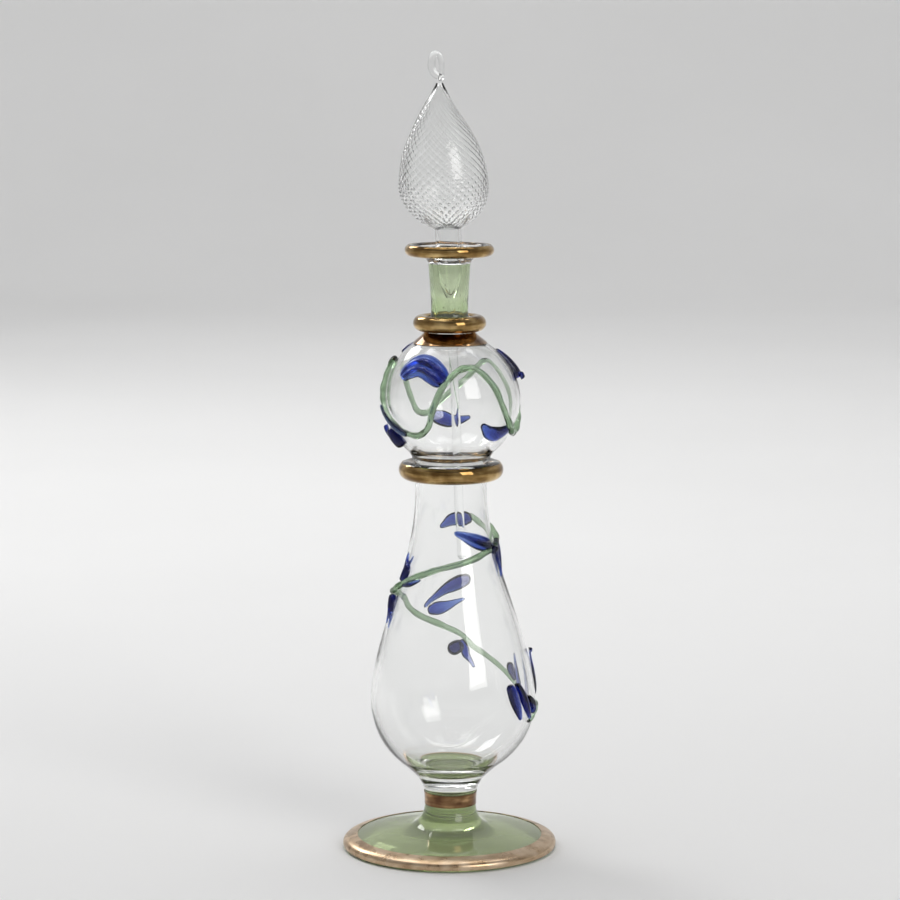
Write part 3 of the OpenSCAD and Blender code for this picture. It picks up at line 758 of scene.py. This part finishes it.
RESERVOIR_LEAVES = [
    [dict(stations=[(144, 82.2, 1.8), (152, 82.9, 3.5), (162, 82.7, 3.7), (172, 82.5, 3.6),
                    (182, 82.0, 3.1), (190, 81.1, 2.1), (198, 80.2, 0.9)], thick=(1.4, 0.9))],
    # The folded leaf at the right, on the dark knob of its base
    [dict(stations=[(60, 78.1, 2.2), (54, 78.4, 3.4), (44, 78.9, 3.9), (31, 79.9, 3.5),
                    (19, 80.9, 2.4), (9, 81.6, 1.5), (4, 82.0, 0.9)],
          thick=(2.1, 0.9), ribs=2, groove=0.6),
     dict(stations=[(68, 76.9, 1.5), (62, 76.9, 2.3), (57, 77.0, 1.6)], thick=(1.9, 1.7), lift=0.5)],
    [dict(stations=[(86, 78.6, 1.4), (86, 76.6, 2.2), (83, 74.4, 1.8), (79, 72.6, 1.0),
                    (75, 71.2, 0.6), (72, 70.0, 0.8)], thick=(1.4, 0.7))],
    # Dark buds with forked tails, above and below the left bend
    [dict(stations=[(-68, 68.8, 1.2), (-66, 70.1, 2.1), (-65, 71.7, 2.6), (-69, 73.0, 1.7),
                    (-73, 74.2, 0.9), (-75, 75.8, 0.35)], thick=(1.7, 0.6)),
     dict(stations=[(-66, 72.6, 0.9), (-62, 74.0, 0.55), (-58, 75.4, 0.3)], thick=(0.7, 0.3)),
     dict(stations=[(-63, 68.0, 1.0), (-52, 68.7, 1.4), (-38, 70.0, 0.5)], thick=(1.0, 0.4))],
    [dict(stations=[(-82, 65.0, 1.4), (-80, 63.8, 2.6), (-78, 62.4, 2.9), (-77, 61.1, 2.4),
                    (-79, 59.7, 1.1), (-80, 57.8, 0.35)], thick=(1.8, 0.5)),
     dict(stations=[(-74, 61.0, 0.9), (-71, 59.2, 0.55), (-71, 57.2, 0.3)], thick=(0.7, 0.3))],
    [dict(stations=[(209, 59.0, 1.0), (203, 60.7, 1.5), (195, 62.2, 2.1), (188, 63.5, 2.8),
                    (180, 64.6, 3.6), (172, 65.6, 3.8), (165, 66.3, 3.2), (160, 66.7, 2.0)],
          thick=(0.9, 1.5))],
    [dict(stations=[(204, 57.3, 2.0), (199, 58.1, 3.5), (192, 58.5, 3.8), (185, 59.1, 2.8),
                    (177, 60.1, 1.6), (167, 61.2, 0.6)], thick=(1.6, 0.7), ribs=1, groove=0.5)],
    [dict(stations=[(172, 48.2, 2.4), (176, 47.6, 3.5), (180, 46.9, 3.8), (184, 46.1, 2.8)],
          thick=(2.1, 2.1))],
    [dict(stations=[(174, 49.4, 1.4), (171, 47.2, 2.5), (170, 45.4, 2.3), (167, 43.8, 1.4),
                    (164, 41.8, 0.8)], thick=(1.3, 0.9))],
    [dict(stations=[(126, 40.3, 1.3), (129, 42.1, 2.4), (130, 43.5, 2.5), (128, 44.9, 1.5)],
          thick=(2.0, 1.7))],
    [dict(stations=[(121, 39.0, 1.6), (122, 41.3, 1.9), (121, 43.5, 1.5), (120, 45.8, 1.0),
                    (118, 48.3, 0.6)], thick=(1.2, 0.7))],
    [dict(stations=[(107, 37.8, 2.2), (105, 40.5, 3.0), (102, 44.0, 2.3), (100, 47.3, 1.1),
                    (98, 49.6, 0.6)], thick=(1.3, 0.6), curl=0.5),
     dict(stations=[(99, 49.2, 0.8), (97, 49.9, 1.1), (95, 50.3, 0.8)], thick=(0.9, 0.9), lift=0.5)],
    [dict(stations=[(43, 44.6, 1.9), (45, 42.9, 2.8), (47, 40.8, 3.1), (50, 38.6, 2.8),
                    (53, 36.6, 1.8), (55, 35.2, 0.9)], thick=(1.4, 0.7))],
    [dict(stations=[(50, 44.6, 1.0), (54, 42.4, 1.7), (57, 40.2, 2.1), (61, 37.9, 1.8),
                    (66, 35.7, 1.0), (68, 34.7, 0.5)], thick=(1.9, 1.0))],
    [dict(stations=[(62, 40.8, 0.9), (68, 39.0, 1.8), (72, 37.4, 1.6), (71, 35.8, 0.9)],
          thick=(1.8, 1.2))],
]
for i, lobes in enumerate(GLOBE_LEAVES, 1):
    leaf(f"globe_leaf_{i}", globe_outside, lobes)
for i, lobes in enumerate(RESERVOIR_LEAVES, 1):
    leaf(f"reservoir_leaf_{i}", reservoir_outside, lobes)


# ---------------------------------------------------------------- stopper

def stopper_piece(name, points, faces, body):
    return new_piece(name, leaned(points), faces, clear_glass, body, [name])


# Air that lets the finial turn on the plug
TURNING_GAP = 0.05
PLUG_TOP = FINIAL_Z - TURNING_GAP
plug_outside = joined(
    (0, PLUG_Z),
    bezier((1.15, PLUG_Z), (1.5, PLUG_Z + 0.8), (2.6, PLUG_Z + 3.2), (2.95, PLUG_Z + 6.0), 24),
    (PLUG_R, MOUTH_Z + 0.5), (PLUG_R, PLUG_TOP))
plug_inside = joined(
    bezier((0, PLUG_Z + 0.9), (0.5, PLUG_Z + 1.0), (2.0, PLUG_Z + 3.5), (2.4, PLUG_Z + 6.3), 24),
    (PLUG_BORE_R, PLUG_TOP))
stopper_piece("stopper_plug", *turned(shell_loop(plug_outside, plug_inside)), "stopper")

ROD_TOP = PLUG_Z - 0.02
rod_loop = joined(arc((0, ROD_END_Z + ROD_R), ROD_R, -90, 0, 12),
                  [(ROD_R * (1 + 0.05 * math.sin(z * 0.31)), z)
                   for z in np.linspace(ROD_END_Z + ROD_R + 1, PLUG_Z - 2, 60)],
                  (ROD_R, ROD_TOP), (0, ROD_TOP))
# The rod's round end starts exactly on the axis
rod_loop[0][0] = 0
stopper_piece("dip_rod", *turned(rod_loop, segments=64), "stopper")

# Two families of fine ridges wind round the finial, one on each face of its wall, and cross in a
# lattice; low down and towards the left they swell into beads
RIDGES = 28
TWIST = math.radians(6.6)
RIDGE_HEIGHTS = (FINIAL_Z, FINIAL_Z + 2.5, FINIAL_Z + 5, FINIAL_WIDE_Z + 5, 184, FINIAL_TOP_Z - 1)
RIDGE_DEPTHS = (0, 0.7, 1, 0.75, 0.6, 0)
BEAD_HEIGHTS = (FINIAL_Z, FINIAL_Z + 2, FINIAL_Z + 9, FINIAL_Z + 15, FINIAL_TOP_Z)
BEAD_DEPTHS = (0, 1, 1, 0.1, 0)
# Heights of ridges and beads off the outer and the inner face of the wall, in mm
OUTER_RIDGE, OUTER_BEAD = 0.13, 0.40
INNER_RIDGE, INNER_BEAD = 0.12, 0.26
# How much of the way from one ridge to the next a ridge takes up
RIDGE_SPREAD = 0.16
finial_outside = joined(
    bezier((PLUG_R + 0.05, FINIAL_Z), (6.8, 158.1), (FINIAL_R, 161.6), (FINIAL_R, FINIAL_WIDE_Z), 90),
    bezier((FINIAL_R, FINIAL_WIDE_Z), (FINIAL_R, 177.6), (5, 183.6), (0.85, FINIAL_TOP_Z), 150))
finial_inside = joined(
    (PLUG_BORE_R, FINIAL_Z),
    bezier((PLUG_BORE_R, 157.5), (5.9, 159), (FINIAL_R - WALL, 162.2), (FINIAL_R - WALL, FINIAL_WIDE_Z), 90),
    bezier((FINIAL_R - WALL, FINIAL_WIDE_Z), (FINIAL_R - WALL, 177.2), (4.5, 183.4), (0.2, 191.5), 150),
    (0, 191.6))


def ridge(phase):
    return np.exp((np.cos(phase) - 1) / RIDGE_SPREAD)


def finial_relief(az, r, z, i):
    """How far the finial's ridges and beads stand off its smooth outline, in mm."""
    up = z - FINIAL_Z
    rising = ridge(RIDGES * (az - TWIST * up))
    falling = ridge(RIDGES * (az + TWIST * up) + 1.2)
    depth = smooth_between(z, RIDGE_HEIGHTS, RIDGE_DEPTHS) * min(1, r / 4)
    bead = smooth_between(z, BEAD_HEIGHTS, BEAD_DEPTHS) * min(1, r / 4)
    left = 0.7 - 0.3 * np.sin(az)
    beads = np.sqrt(rising * falling)
    if i < len(finial_outside):
        return left * (OUTER_RIDGE * depth * rising * (1 - 0.6 * bead) + OUTER_BEAD * bead * beads)
    return -(INNER_RIDGE * depth * falling * (1 - 0.5 * bead) + INNER_BEAD * bead * beads)


finial_section = joined(finial_outside, (0, FINIAL_TOP_Z), finial_inside[::-1])
finial_points, finial_faces = turned(finial_section, finial_relief, 420)
# It was blown a little to the left of the plug it stands on
BLOWN_HEIGHTS = (FINIAL_Z + 1, FINIAL_WIDE_Z, 178, 187, FINIAL_TOP_Z)
BLOWN_LEFT = (0, 0.55, 0.7, 1.0, 0.6)
finial_points[:, 0] -= smooth_between(finial_points[:, 2], BLOWN_HEIGHTS, BLOWN_LEFT)
stopper_piece("finial", finial_points, finial_faces, "stopper_top")

# The loop is one thick curl, closed on itself, that leans to the left of the tip
LOOP_MIDDLE = (-1.15, 196.55)
LOOP_HALF = (1.25, 2.95)
round_loop = np.linspace(-0.5 * math.pi, 1.5 * math.pi, 96, endpoint=False)
# From 0 in the upper half to 1 at the foot of the loop, where it narrows and swings back to the tip
lower = np.clip(-np.sin(round_loop), 0, 1)
pinch = 1 - 0.45 * lower ** 2
loop_points = np.column_stack([
    LOOP_MIDDLE[0] + LOOP_HALF[0] * np.cos(round_loop) * pinch + 0.95 * lower ** 3,
    0.30 * np.cos(round_loop),
    LOOP_MIDDLE[1] + LOOP_HALF[1] * np.sin(round_loop)])
loop_radii = 0.80 - 0.14 * np.cos(round_loop)
stopper_piece("finial_loop", *tube(loop_points, np.tile([0.0, -1.0, 0.0], (len(loop_points), 1)),
                                   loop_radii, closed=True), "stopper_top")


# ---------------------------------------------------------------- stage, lights and camera

def stage_object(name, points, faces, material):
    mesh = bpy.data.meshes.new(name)
    mesh.from_pydata([tuple(p) for p in points], [], faces)
    mesh.polygons.foreach_set("use_smooth", [True] * len(mesh.polygons))
    mesh.materials.append(material)
    thing = bpy.data.objects.new(name, mesh)
    bpy.context.scene.collection.objects.link(thing)


def paper():
    material, nodes, links, shader = new_material("paper")
    shader.inputs["Roughness"].default_value = 0.75
    shader.inputs["Specular IOR Level"].default_value = 0.2
    cloud = noise(nodes, links, 3, 4.0)
    links.new(ramp(nodes, links, cloud, [(0.3, (0.80, 0.80, 0.795)), (0.7, (0.83, 0.83, 0.825))]),
              shader.inputs["Base Color"])
    return material


# A round sweep: flat floor, a wide cove and a low wall, in metres
FLOOR_RADIUS = 1.5
COVE = 0.9
WALL_TOP = 1.7
sweep = joined((0, 0), (0.5, 0), (FLOOR_RADIUS, 0), arc((FLOOR_RADIUS, COVE), COVE, -90, 0, 24),
               (FLOOR_RADIUS + COVE, WALL_TOP))
SWEEP_SEGMENTS = 96
sweep_points, sweep_faces = turned(sweep, segments=SWEEP_SEGMENTS)
# The last ring of faces would close the outline from the top of the wall to the middle of the floor
stage_object("sweep", sweep_points, sweep_faces[:-SWEEP_SEGMENTS], paper())


def area_light(name, place, target, width, height, power, colour=(1, 1, 1)):
    data = bpy.data.lights.new(name, "AREA")
    data.shape = "RECTANGLE"
    data.size, data.size_y = width, height
    data.energy = power
    data.color = colour
    light = bpy.data.objects.new(name, data)
    bpy.context.scene.collection.objects.link(light)
    light.location = place
    aim = Vector(target) - Vector(place)
    light.rotation_euler = aim.to_track_quat("-Z", "Y").to_euler()


# Lights stand in metres; the last two brighten the finial's beads and the wall behind
middle = (0, 0, 0.10)
area_light("window", (0.95, -1.25, 0.82), middle, 0.78, 1.05, 10, (1.0, 0.99, 0.97))
area_light("overhead", (-0.1, 0.15, 1.0), middle, 0.7, 0.7, 2.5)
area_light("sparkle", (-0.55, 0.75, 0.72), (0, 0, 0.15), 0.34, 0.34, 2.2)
area_light("back_wash", (0.0, 0.5, 1.5), (0, 2.2, 0.4), 1.4, 0.8, 13)


def room():
    """The rest of the room: dim in front of the bottle, lighter behind it."""
    world = bpy.data.worlds.new("world")
    bpy.context.scene.world = world
    world.use_nodes = True
    nodes, links = world.node_tree.nodes, world.node_tree.links
    facing = nodes.new("ShaderNodeTexCoord")
    split = nodes.new("ShaderNodeSeparateXYZ")
    links.new(facing.outputs["Generated"], split.inputs["Vector"])
    back = nodes.new("ShaderNodeMapRange")
    back.inputs["From Min"].default_value = -0.8
    back.inputs["From Max"].default_value = 0.6
    links.new(split.outputs["Y"], back.inputs["Value"])
    dim, light = (0.16, 0.16, 0.165), (0.46, 0.46, 0.47)
    shade = ramp(nodes, links, back.outputs["Result"], [(0.0, dim), (1.0, light)])
    links.new(shade, nodes["Background"].inputs["Color"])
    nodes["Background"].inputs["Strength"].default_value = 1.0


room()

# Distance, height, downward pitch and focal length of the camera that took such a view
CAMERA_DISTANCE = 0.7786
CAMERA_HEIGHT = 0.2075
CAMERA_PITCH = 7.77
LENS = 126.0
camera = bpy.data.objects.new("camera", bpy.data.cameras.new("camera"))
camera.data.lens = LENS
camera.data.sensor_width = 36.0
camera.data.clip_start = 0.01
camera.location = (-0.0002, -CAMERA_DISTANCE, CAMERA_HEIGHT)
camera.rotation_euler = (math.radians(90 - CAMERA_PITCH), 0, 0)
bpy.context.scene.collection.objects.link(camera)
bpy.context.scene.camera = camera
bpy.context.scene.view_settings.view_transform = "Standard"
